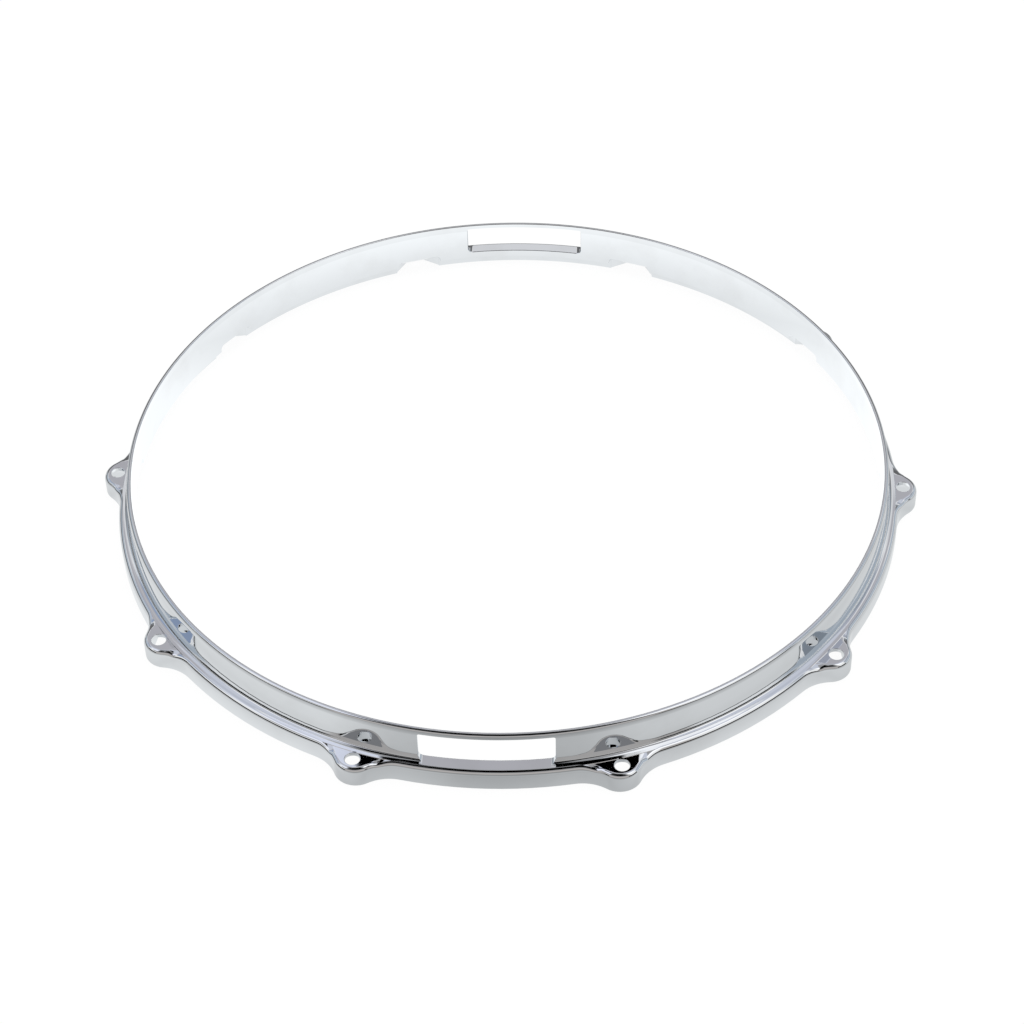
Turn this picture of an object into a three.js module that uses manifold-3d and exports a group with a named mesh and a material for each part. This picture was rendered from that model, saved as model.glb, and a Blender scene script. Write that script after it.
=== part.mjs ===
// Snare-side drum hoop: one chrome-plated casting with ten rod ears and two gates.
// Millimetres, +Z up. The origin is the centre of the ring on the plane it stands on,
// the front gate faces -Y and angles run from there, counter-clockwise seen from above.
//
// The hoop is one casting. Each mesh is one natural region of it, and the regions meet
// face to face: ears and skirt with the wall's root below, the collar wall above.

import * as THREE from "three";
import { mergeVertices } from "three/addons/utils/BufferGeometryUtils.js";
import Module from "manifold-3d";

const wasm = await Module();
wasm.setup();

// Sizes, mm
// Ring, from the bore outwards and from the ground up
const boreRadius = 180.0;
const rimWidth = 2.4;
const rimLip = 0.3;
const rimLipDepth = 3.8;
const rimEdgeRadius = 0.5;
const wallHeight = 17.6;
const flangeWidth = 5.6;
const flangeEdgeRadius = 1.2;
const wallDraft = 0.9;
const rootFilletRadius = 1.6;
const flangeFall = 0.4;
const flangeFallWidth = 1.4;
const skirtHeight = 10.6;
const skirtThickness = 3.0;
const seatHeight = 6.4;

// Ears for the tension rods
const rodCount = 10;
const rodStandoff = 2.5;
const rodHoleDiameter = 6.8;
const earReach = 6.6;
const earTipRadius = 10.3;
const earNeckRadius = 19.0;
const earPlateThickness = 3.4;
const earWallThickness = 3.0;
const pocketMouthWidth = 23.0;
const pocketCrownRise = 3.0;
const washerSeatDiameter = 14.0;

// Gates for the snare straps
const gateWidth = 60.0;
const bridgeHeight = 2.5;
const gateTopCornerRadius = 1.0;
const gateSillCornerRadius = 2.5;

// How far a cutter runs past the metal that it cuts
const overrun = 1.0;

// Facets
const sectorStepDegrees = 2.0;
const tipSteps = 14;
const neckSteps = 6;
const roundingSteps = 3;
const filletSteps = 5;
const gateCornerSteps = 4;
const holeSides = 24;
const seatSides = 40;
const pocketArcSteps = 12;

// Derived sizes
const wallOuterRadius = boreRadius + rimWidth;
const wallInnerRadius = boreRadius + rimLip;
const skirtOuterRadius = wallOuterRadius + flangeWidth;
const skirtInnerRadius = skirtOuterRadius - skirtThickness;
const rodCircleRadius = skirtOuterRadius + rodStandoff;
const ringHeight = skirtHeight + wallHeight;
const wallRootRadius = wallOuterRadius + wallDraft;
const filletFootRadius = wallRootRadius + rootFilletRadius;
const filletTop = skirtHeight + flangeFall + rootFilletRadius;
const earTipCentre = rodCircleRadius + earReach - earTipRadius;
const earPlateUnderside = skirtHeight - earPlateThickness;
const gateTop = ringHeight - bridgeHeight;
const pitch = (2 * Math.PI) / rodCount;
const quarterTurn = Math.PI / 2;

// Helpers

/** The place at a radius, an angle from the front and a height. */
function place(radius, angle, height) {
  return [radius * Math.sin(angle), -radius * Math.cos(angle), height];
}

/** Angles from one to another in equal steps, both ends included. */
function anglesBetween(from, to, steps) {
  return Array.from({ length: steps + 1 }, (_, i) => from + ((to - from) * i) / steps);
}

/** Angles for a plain sector, in steps of about the named size. */
function sectorAngles(from, to) {
  const steps = Math.ceil(THREE.MathUtils.radToDeg(to - from) / sectorStepDegrees);
  return anglesBetween(from, to, Math.max(steps, 1));
}

/** Points of an arc, both ends included, as radius and height pairs. */
function arcPoints(centreR, centreZ, radius, from, to, steps) {
  return anglesBetween(from, to, steps).map((turn) => new THREE.Vector2(
    centreR + radius * Math.cos(turn),
    centreZ + radius * Math.sin(turn),
  ));
}

/**
 * A closed solid swept round the ring. sectionAt(angle) gives the section there as
 * counter-clockwise radius and height points, the same number at every angle.
 */
function sweep(angles, sectionAt) {
  const sections = angles.map(sectionAt);
  const count = sections[0].length;
  const positions = [];
  sections.forEach((section, i) => {
    section.forEach((point) => positions.push(...place(point.x, angles[i], point.y)));
  });
  const index = [];
  for (let i = 0; i + 1 < angles.length; i += 1) {
    for (let k = 0; k < count; k += 1) {
      const next = (k + 1) % count;
      const a = i * count + k;
      const b = i * count + next;
      const c = a + count;
      const d = b + count;
      index.push(a, c, b, b, c, d);
    }
  }
  const last = (angles.length - 1) * count;
  THREE.ShapeUtils.triangulateShape(sections[0], []).forEach(([a, b, c]) => {
    index.push(a, b, c);
  });
  THREE.ShapeUtils.triangulateShape(sections.at(-1), []).forEach(([a, b, c]) => {
    index.push(last + a, last + c, last + b);
  });
  const geometry = new THREE.BufferGeometry();
  geometry.setAttribute("position", new THREE.Float32BufferAttribute(positions, 3));
  geometry.setIndex(index);
  return geometry;
}

/** A closed three.js geometry as a solid that can be joined and cut. */
function toSolid(geometry) {
  const bare = geometry.clone();
  bare.deleteAttribute("normal");
  bare.deleteAttribute("uv");
  const merged = mergeVertices(bare);
  return new wasm.Manifold(new wasm.Mesh({
    numProp: 3,
    vertProperties: new Float32Array(merged.attributes.position.array),
    triVerts: new Uint32Array(merged.index.array),
  }));
}

/** A solid back as a three.js geometry. */
function toGeometry(solid) {
  const mesh = solid.getMesh();
  const geometry = new THREE.BufferGeometry();
  geometry.setAttribute(
    "position",
    new THREE.Float32BufferAttribute(mesh.vertProperties, mesh.numProp),
  );
  geometry.setIndex(Array.from(mesh.triVerts));
  return geometry;
}

/** One geometry less every cutter. */
function cut(geometry, cutters) {
  const solid = cutters.reduce(
    (rest, cutter) => rest.subtract(toSolid(cutter)),
    toSolid(geometry),
  );
  return toGeometry(solid);
}

/** An upright cylinder on the rod circle at an angle. */
function rodCylinder(angle, diameter, low, high, sides) {
  const radius = diameter / 2;
  const cylinder = new THREE.CylinderGeometry(radius, radius, high - low, sides);
  cylinder.rotateX(quarterTurn);
  cylinder.translate(...place(rodCircleRadius, angle, (low + high) / 2));
  return cylinder;
}

// Ring sections

/** Collar wall above its root fillet: thinner upwards, with a small lip in the rim. */
function collarSection() {
  const rimTop = ringHeight - rimEdgeRadius;
  return [
    new THREE.Vector2(wallInnerRadius, filletTop),
    new THREE.Vector2(wallRootRadius, filletTop),
    ...arcPoints(wallOuterRadius - rimEdgeRadius, rimTop, rimEdgeRadius,
      0, quarterTurn, roundingSteps),
    ...arcPoints(boreRadius + rimEdgeRadius, rimTop, rimEdgeRadius,
      quarterTurn, 2 * quarterTurn, roundingSteps),
    new THREE.Vector2(wallInnerRadius, ringHeight - rimLipDepth),
  ];
}

/** Rim left standing over a gate. */
function bridgeSection() {
  const rimTop = ringHeight - rimEdgeRadius;
  const lipShare = (rimLipDepth - bridgeHeight) / (rimLipDepth - rimEdgeRadius);
  const inner = wallInnerRadius - rimLip * Math.max(lipShare, 0);
  const draftShare = (rimTop - gateTop) / (rimTop - filletTop);
  return [
    new THREE.Vector2(inner, gateTop),
    new THREE.Vector2(wallOuterRadius + wallDraft * draftShare, gateTop),
    ...arcPoints(wallOuterRadius - rimEdgeRadius, rimTop, rimEdgeRadius,
      0, quarterTurn, roundingSteps),
    ...arcPoints(boreRadius + rimEdgeRadius, rimTop, rimEdgeRadius,
      quarterTurn, 2 * quarterTurn, roundingSteps),
  ];
}

/**
 * Skirt, flange and the wall's root, out to a given radius. The flange falls a little
 * from the fillet, then runs level to its rounded edge.
 */
function skirtSection(outerRadius) {
  return [
    new THREE.Vector2(wallInnerRadius, seatHeight),
    new THREE.Vector2(skirtInnerRadius, seatHeight),
    new THREE.Vector2(skirtInnerRadius, 0),
    new THREE.Vector2(outerRadius, 0),
    ...arcPoints(outerRadius - flangeEdgeRadius, skirtHeight - flangeEdgeRadius,
      flangeEdgeRadius, 0, quarterTurn, roundingSteps),
    new THREE.Vector2(filletFootRadius + flangeFallWidth, skirtHeight),
    ...arcPoints(filletFootRadius, filletTop, rootFilletRadius,
      -quarterTurn, -2 * quarterTurn, filletSteps),
    new THREE.Vector2(wallInnerRadius, filletTop),
  ];
}

// Ears

/** Centre of the neck arc, tangent to the skirt outside and to the ear's tip arc. */
function neckCentre() {
  const fromRing = skirtOuterRadius + earNeckRadius;
  const fromTip = earTipRadius + earNeckRadius;
  const out = (fromRing ** 2 - fromTip ** 2 + earTipCentre ** 2) / (2 * earTipCentre);
  return { along: Math.sqrt(fromRing ** 2 - out ** 2), out, fromTip };
}

/** Half angles of the ear: where its tip arc ends and where its neck meets the ring. */
function earAngles() {
  const neck = neckCentre();
  const share = earTipRadius / neck.fromTip;
  const tipAlong = neck.along * share;
  const tipOut = earTipCentre + (neck.out - earTipCentre) * share;
  return { tip: Math.atan2(tipAlong, tipOut), neck: Math.atan2(neck.along, neck.out) };
}

/** Radius of the ear's outline at an angle from the ear's middle. */
function earOutline(offset) {
  const turn = Math.abs(offset);
  if (turn <= earAngles().tip) {
    const across = earTipCentre * Math.sin(turn);
    return earTipCentre * Math.cos(turn) + Math.sqrt(earTipRadius ** 2 - across ** 2);
  }
  const neck = neckCentre();
  const reach = neck.along * Math.sin(turn) + neck.out * Math.cos(turn);
  const away = neck.along * Math.cos(turn) - neck.out * Math.sin(turn);
  return reach - Math.sqrt(Math.max(earNeckRadius ** 2 - away ** 2, 0));
}

/** The hollow under an ear, open downwards and to the inside of the ring. */
function earPocket(angle) {
  const radius = earTipRadius - earWallThickness;
  const mouth = pocketMouthWidth / 2;
  const turn = quarterTurn / 2;
  const flankAlong = radius * Math.cos(turn);
  const flankOut = earTipCentre + radius * Math.sin(turn);
  const mouthOut = flankOut - (mouth - flankAlong);
  const inside = boreRadius - overrun;
  const plan = new THREE.Shape([
    new THREE.Vector2(-mouth, inside),
    new THREE.Vector2(mouth, inside),
    new THREE.Vector2(mouth, mouthOut),
    ...arcPoints(0, earTipCentre, radius, turn, 2 * quarterTurn - turn, pocketArcSteps),
    new THREE.Vector2(-mouth, mouthOut),
  ]);
  const hollow = new THREE.ExtrudeGeometry(plan, {
    depth: earPlateUnderside + overrun,
    bevelEnabled: false,
  });
  hollow.translate(0, 0, -overrun);
  const low = earPlateUnderside - overrun;
  const crown = new THREE.Shape([
    new THREE.Vector2(inside, low),
    new THREE.Vector2(wallInnerRadius + pocketCrownRise + overrun, low),
    new THREE.Vector2(wallInnerRadius + pocketCrownRise, earPlateUnderside),
    new THREE.Vector2(wallInnerRadius, earPlateUnderside + pocketCrownRise),
    new THREE.Vector2(inside, earPlateUnderside + pocketCrownRise),
  ]);
  const slope = new THREE.ExtrudeGeometry(crown, {
    depth: pocketMouthWidth,
    bevelEnabled: false,
  });
  slope.rotateX(quarterTurn);
  slope.rotateZ(quarterTurn);
  slope.translate(-mouth, 0, 0);
  return [hollow, slope].map((geometry) => geometry.rotateZ(angle - 2 * quarterTurn));
}

/** One ear and the wall's root behind it, with rod hole, washer seat and hollow. */
function earGeometry(angle) {
  const half = earAngles();
  const offsets = [
    ...anglesBetween(-half.neck, -half.tip, neckSteps),
    ...anglesBetween(-half.tip, half.tip, tipSteps).slice(1),
    ...anglesBetween(half.tip, half.neck, neckSteps).slice(1),
  ];
  const body = sweep(
    offsets.map((offset) => angle + offset),
    (turn) => skirtSection(earOutline(turn - angle)),
  );
  const hole = rodCylinder(
    angle, rodHoleDiameter, -overrun, skirtHeight + overrun, holeSides,
  );
  const seat = rodCylinder(
    angle, washerSeatDiameter, skirtHeight, filletTop + overrun, seatSides,
  );
  return cut(body, [...earPocket(angle), hole, seat]);
}

// Gates

/** Half angle at which the bridge over a gate meets the collar beside it. */
function bridgeHalfAngle() {
  return Math.asin((gateWidth / 2 - gateTopCornerRadius) / wallOuterRadius);
}

/** The opening of a gate: small corners under the rim, larger ones on the sill. */
function gateCutter(angle) {
  const half = gateWidth / 2;
  const top = gateTopCornerRadius;
  const sill = gateSillCornerRadius;
  const outline = new THREE.Shape([
    ...arcPoints(-half + sill, skirtHeight + sill, sill,
      2 * quarterTurn, 3 * quarterTurn, gateCornerSteps),
    ...arcPoints(half - sill, skirtHeight + sill, sill,
      -quarterTurn, 0, gateCornerSteps),
    ...arcPoints(half - top, gateTop - top, top, 0, quarterTurn, roundingSteps),
    ...arcPoints(-half + top, gateTop - top, top,
      quarterTurn, 2 * quarterTurn, roundingSteps),
  ]);
  const inside = Math.sqrt(boreRadius ** 2 - half ** 2) - overrun;
  const outside = skirtOuterRadius + overrun;
  const opening = new THREE.ExtrudeGeometry(outline, {
    depth: outside - inside,
    bevelEnabled: false,
  });
  opening.rotateX(quarterTurn);
  opening.translate(0, -inside, 0);
  return opening.rotateZ(angle);
}

// Casting regions

/** Angle of an ear, counted from the first one right of the front gate. */
function earAngle(number) {
  return pitch * (number - 1 / 2);
}

/** Collar wall over one ear, from midway to each neighbouring ear or to a gate. */
function collarGeometry(number) {
  const angle = earAngle(number);
  const gates = [0, Math.PI, 2 * Math.PI];
  const beside = (edge) => gates.find((gate) => Math.abs(gate - edge) < pitch / 4);
  const gateBefore = beside(angle - pitch / 2);
  const gateAfter = beside(angle + pitch / 2);
  const from = angle - pitch / 2 + (gateBefore === undefined ? 0 : bridgeHalfAngle());
  const to = angle + pitch / 2 - (gateAfter === undefined ? 0 : bridgeHalfAngle());
  const cutters = [gateBefore, gateAfter].filter((gate) => gate !== undefined);
  return cut(sweep(sectorAngles(from, to), collarSection), cutters.map(gateCutter));
}

/** Skirt and flange between two ears. */
function skirtGeometry(number) {
  const neck = earAngles().neck;
  const from = earAngle(number) + neck;
  const to = earAngle(number + 1) - neck;
  return sweep(sectorAngles(from, to), () => skirtSection(skirtOuterRadius));
}

/** Skirt under a gate, its flat sill and the wall's root either side. */
function sillGeometry(number) {
  return cut(skirtGeometry(number), [gateCutter(earAngle(number) + pitch / 2)]);
}

/** Rim over one gate. */
function bridgeGeometry(angle) {
  const half = bridgeHalfAngle();
  return sweep(sectorAngles(angle - half, angle + half), bridgeSection);
}

/** Bright chrome plate. */
function chrome() {
  return new THREE.MeshStandardMaterial({
    color: 0xd6dadc,
    roughness: 0.07,
    metalness: 1,
  });
}

/** One named region of the casting. */
function region(name, geometry) {
  const mesh = new THREE.Mesh(geometry, chrome());
  mesh.name = name;
  return mesh;
}

/** Two-digit number for a name. */
function label(number) {
  return String(number).padStart(2, "0");
}

const hoop = new THREE.Group();
hoop.name = "snare_side_hoop";
for (let number = 1; number <= rodCount; number += 1) {
  hoop.add(region(`ear_${label(number)}`, earGeometry(earAngle(number))));
  hoop.add(region(`collar_${label(number)}`, collarGeometry(number)));
  if (number % (rodCount / 2) !== 0) {
    const name = `skirt_${label(number)}_${label(number + 1)}`;
    hoop.add(region(name, skirtGeometry(number)));
  }
}
hoop.add(region("gate_sill_front", sillGeometry(rodCount)));
hoop.add(region("gate_sill_back", sillGeometry(rodCount / 2)));
hoop.add(region("gate_bridge_front", bridgeGeometry(0)));
hoop.add(region("gate_bridge_back", bridgeGeometry(Math.PI)));

export default hoop;
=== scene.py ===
"""Snare-side drum hoop: one chrome-plated casting with ten rod ears and two strap gates.

The casting is built in metres round the centre of the ring, on the plane it stands on.
One ear with its share of the ring is modelled as a closed sector. Geometry Nodes cut it,
repeat it round the ring and cut the gates. Each face then gets the exact normals of the
shape that it was cast or machined to.
"""

import logging
import math
from dataclasses import dataclass, field
from enum import Enum, IntEnum, auto
from typing import Callable, Iterable, Sequence

import bmesh
import bpy
import numpy as np
from mathutils import Matrix, Vector


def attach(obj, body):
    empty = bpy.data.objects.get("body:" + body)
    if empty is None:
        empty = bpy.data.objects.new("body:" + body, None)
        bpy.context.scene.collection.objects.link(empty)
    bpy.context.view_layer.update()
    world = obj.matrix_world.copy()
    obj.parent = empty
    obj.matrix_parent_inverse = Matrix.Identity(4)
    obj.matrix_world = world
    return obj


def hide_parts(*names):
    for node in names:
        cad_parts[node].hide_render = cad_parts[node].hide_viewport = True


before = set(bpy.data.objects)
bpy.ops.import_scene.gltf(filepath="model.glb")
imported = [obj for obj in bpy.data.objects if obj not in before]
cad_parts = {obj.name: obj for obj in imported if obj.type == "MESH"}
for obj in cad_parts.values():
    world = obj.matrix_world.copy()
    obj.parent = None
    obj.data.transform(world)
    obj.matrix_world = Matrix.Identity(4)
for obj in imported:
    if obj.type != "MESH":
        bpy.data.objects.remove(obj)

logging.basicConfig(level=logging.INFO, format="%(name)s: %(message)s")
log = logging.getLogger("hoop")

MM = 0.001
QUARTER = math.pi / 2
SURFACE = "surface"
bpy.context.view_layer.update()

Place = tuple[float, float]
Tones = tuple[tuple[float, float], ...]
# A rule takes places along the ring, outwards and up, and gives the normal's three parts.
Rule = Callable[[np.ndarray, np.ndarray, np.ndarray], tuple]


class Surface(IntEnum):
    """The kinds of face on the casting, each with a shape of its own."""

    WALL_INNER = auto()
    RIM_LIP = auto()
    RIM_INNER = auto()
    RIM_TOP = auto()
    RIM_OUTER = auto()
    RIM_ROLL = auto()
    WALL_OUTER = auto()
    ROOT_FILLET = auto()
    FLANGE = auto()
    FLANGE_CONE = auto()
    PAD_STEP = auto()
    PAD = auto()
    EDGE = auto()
    SKIRT = auto()
    BASE_OUTER = auto()
    BASE = auto()
    BASE_INNER = auto()
    SKIRT_INNER = auto()
    SEAT_FILLET = auto()
    SEAT = auto()
    SEAT_LIP = auto()
    SECTOR_END = auto()
    ROD_HOLE = auto()
    SPOT_FACE = auto()
    POCKET = auto()
    GATE = auto()


class Turn(Enum):
    """Which side of an arc in the section the metal lies on."""

    CONVEX = 1.0
    CONCAVE = -1.0


# Sums and mesh help.


def held(share: float) -> float:
    """A share held between 0 and 1."""
    return min(max(share, 0.0), 1.0)


def eased(share: float) -> float:
    """A held share that starts and stops gently."""
    share = held(share)
    return share * share * (3 - 2 * share)


def arc_points(
    centre: Place, radius: float, start: float, end: float, steps: int, turn: Turn = Turn.CONVEX
) -> list[Place]:
    """Points of an arc in the section, as radius and height.

    Args:
        centre: middle of the arc, mm.
        radius: radius of the arc, mm.
        start: angle of the first point, radians.
        end: angle of the last point.
        steps: number of steps between them.
        turn: side of the arc that the metal lies on.

    Returns:
        The points in order, both ends included.
    """
    reach = turn.value * radius
    return [(centre[0] + reach * math.cos(t), centre[1] + reach * math.sin(t))
            for t in np.linspace(start, end, steps + 1)]


def banded(loops: int, count: int) -> list[list[int]]:
    """Numbers the faces of a closed row of loops.

    Args:
        loops: number of loops.
        count: number of points in each.

    Returns:
        The vertex numbers of each face: the bands in order, then the two ends.
    """
    faces = []
    for i in range(loops - 1):
        for k in range(count):
            a, b = i * count + k, i * count + (k + 1) % count
            faces.append([a, b, b + count, a + count])
    faces.append(list(range(count))[::-1])
    faces.append([(loops - 1) * count + k for k in range(count)])
    return faces


def solid_mesh(
    name: str,
    points: Sequence[Sequence[float]],
    faces: Sequence[Sequence[int]],
    kinds: Sequence[int],
) -> bpy.types.Mesh:
    """Makes a closed mesh whose faces point outwards and carry their kind of surface.

    Args:
        name: name of the mesh.
        points: vertices in mm.
        faces: vertex numbers of each face.
        kinds: kind of surface of each face.

    Returns:
        The new mesh, in metres.
    """
    mesh = bpy.data.meshes.new(name)
    mesh.from_pydata([tuple(c * MM for c in p) for p in points], [], faces)
    mesh.attributes.new(SURFACE, "INT", "FACE").data.foreach_set("value", list(kinds))
    mesh.update()
    work = bmesh.new()
    work.from_mesh(mesh)
    bmesh.ops.recalc_face_normals(work, faces=work.faces)
    if work.calc_volume(signed=True) < 0:
        bmesh.ops.reverse_faces(work, faces=work.faces)
    work.to_mesh(mesh)
    work.free()
    return mesh


def loft(
    loops: Sequence[Sequence[Sequence[float]]], kind: Surface, name: str
) -> bpy.types.Mesh:
    """Closes a row of loops, each with the same number of points, into one solid.

    Args:
        loops: the loops in order, points in mm.
        kind: kind of surface of every face.
        name: name of the mesh.

    Returns:
        The closed mesh.
    """
    faces = banded(len(loops), len(loops[0]))
    return solid_mesh(name, [p for loop in loops for p in loop], faces, [int(kind)] * len(faces))


def new_object(name: str, data: bpy.types.ID) -> bpy.types.Object:
    """Puts a mesh, lamp or camera in the scene as an object at the origin.

    Args:
        name: name of the object.
        data: what it shows.

    Returns:
        The new object.
    """
    thing = bpy.data.objects.new(name, data)
    bpy.context.scene.collection.objects.link(thing)
    return thing


# Node help.


@dataclass(frozen=True)
class NodeSheet:
    """Writes the nodes of one tree, each with its values and links given together."""

    tree: bpy.types.NodeTree

    @classmethod
    def of(cls, owner: bpy.types.Material | bpy.types.World) -> "NodeSheet":
        """Clears the nodes of a material or a world.

        Args:
            owner: the material or world.

        Returns:
            An empty sheet for its new nodes.
        """
        owner.use_nodes = True
        owner.node_tree.nodes.clear()
        return cls(owner.node_tree)

    def add(self, kind: str, inputs: dict | None = None, **settings: object) -> bpy.types.Node:
        """Adds a node.

        Args:
            kind: type of the node.
            inputs: a value, a socket or a list of sockets for each input, by name or number.
            settings: the node's own options.

        Returns:
            The new node.
        """
        node = self.tree.nodes.new(kind)
        for key, value in settings.items():
            setattr(node, key, value)
        for key, value in (inputs or {}).items():
            for one in value if isinstance(value, list) else [value]:
                if isinstance(one, bpy.types.NodeSocket):
                    self.tree.links.new(one, node.inputs[key])
                else:
                    node.inputs[key].default_value = one
        return node

    def maths(self, operation: str, *values: object) -> bpy.types.NodeSocket:
        """One sum of numbers and sockets."""
        return self.add("ShaderNodeMath", dict(enumerate(values)), operation=operation).outputs[0]

    def mix(self, share: object, first: object, second: object) -> bpy.types.NodeSocket:
        """Two shaders mixed by a share of the second."""
        return self.add("ShaderNodeMixShader", {0: share, 1: first, 2: second}).outputs[0]

    def emission(self, **inputs: object) -> bpy.types.NodeSocket:
        """A shader that gives light."""
        return self.add("ShaderNodeEmission", inputs).outputs[0]

    def tones(self, value: bpy.types.NodeSocket, steps: Tones) -> bpy.types.NodeSocket:
        """A tone that eases from step to step as a value grows.

        Args:
            value: what the tone follows.
            steps: values in rising order, each with its tone.

        Returns:
            The tone.
        """
        low, high = steps[0][0], steps[-1][0]
        share = self.maths("DIVIDE", self.maths("SUBTRACT", value, low), high - low)
        ramp = self.add("ShaderNodeValToRGB", {0: share})
        ramp.color_ramp.interpolation = "EASE"
        stops = ramp.color_ramp.elements
        for i, (at, tone) in enumerate(steps):
            stop = stops[i] if i < 2 else stops.new(1.0)
            stop.position = (at - low) / (high - low)
            stop.color = (tone, tone, tone, 1.0)
        return ramp.outputs["Color"]

    def seen_or_mirrored(self) -> bpy.types.NodeSocket:
        """Tells the rays by which something is seen from those that only light it.

        Returns:
            One for camera, glossy and transmission rays, else nought.
        """
        path = self.add("ShaderNodeLightPath").outputs
        indirect = self.maths("MAXIMUM", path["Is Glossy Ray"], path["Is Transmission Ray"])
        return self.maths("MAXIMUM", path["Is Camera Ray"], indirect)


# Shapes in plan.


@dataclass(frozen=True)
class OutlinePoint:
    """A point of the plan outline, with the direction that faces away from the metal."""

    along: float
    out: float
    bearing: float

    @property
    def azimuth(self) -> float:
        """Angle from the middle of the ear, radians."""
        return math.atan2(self.along, self.out)


@dataclass(frozen=True)
class EarOutline:
    """Plan outline of one ear and of the ring either side of it, mm.

    A round tip runs through two hollow necks into the skirt's circle.
    """

    ring_radius: float = 188.0
    rod_circle: float = 190.5
    reach: float = 6.6
    tip_radius: float = 10.3
    neck_radius: float = 19.0
    ear_count: int = 10
    tip_steps: int = 13
    neck_steps: int = 9
    ring_steps: int = 6

    @property
    def tip_centre(self) -> float:
        """Distance of the tip arc's centre from the middle of the ring."""
        return self.rod_circle + self.reach - self.tip_radius

    @property
    def neck_centre(self) -> Place:
        """Centre of a neck arc, which touches the ring and the tip arc.

        Returns:
            Its place along the ring and outwards.
        """
        from_ring = self.ring_radius + self.neck_radius
        from_tip = self.tip_radius + self.neck_radius
        out = (from_ring**2 - from_tip**2 + self.tip_centre**2) / (2 * self.tip_centre)
        return math.sqrt(from_ring**2 - out**2), out

    @property
    def tip_bearing(self) -> float:
        """Bearing at which the tip arc runs into a neck."""
        along, out = self.neck_centre
        return math.atan2(along, out - self.tip_centre)

    @property
    def neck_bearing(self) -> float:
        """Bearing at which a neck runs into the ring."""
        return math.atan2(*self.neck_centre)

    def points(self) -> list[OutlinePoint]:
        """Lays out the outline over one whole sector.

        Returns:
            Its points, from one end to the other.
        """
        tip, neck, end = self.tip_bearing, self.neck_bearing, math.pi / self.ear_count
        right = [OutlinePoint(0.0, self.tip_centre + self.tip_radius, 0.0)]
        for (along, out), radius, first, last, steps in (
            ((0.0, self.tip_centre), self.tip_radius, 0.0, tip, self.tip_steps),
            (self.neck_centre, -self.neck_radius, tip, neck, self.neck_steps),
            ((0.0, 0.0), self.ring_radius, neck, end, self.ring_steps),
        ):
            for i in range(1, steps + 1):
                t = first + (last - first) * i / steps
                right.append(
                    OutlinePoint(along + radius * math.sin(t), out + radius * math.cos(t), t))
        return [OutlinePoint(-p.along, p.out, -p.bearing) for p in reversed(right[1:])] + right

    def bearing_at(self, along: np.ndarray, out: np.ndarray) -> np.ndarray:
        """Bearing of the outline point nearest to each place.

        Args:
            along: distances along the ring from the middle of the ear, mm.
            out: distances outwards from the middle of the ring, mm.

        Returns:
            The bearings in radians, negative on the left of the ear.
        """
        side = np.abs(along)
        neck_along, neck_out = self.neck_centre
        tip = np.arctan2(side, out - self.tip_centre)
        neck = np.arctan2(neck_along - side, neck_out - out)
        ring = np.arctan2(side, out)
        bearing = np.where(tip <= self.tip_bearing, tip, np.maximum(neck, ring))
        in_ring = (tip > self.tip_bearing) & (ring >= self.neck_bearing)
        return np.sign(along) * np.where(in_ring, ring, bearing)


# Shapes in section.


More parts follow.
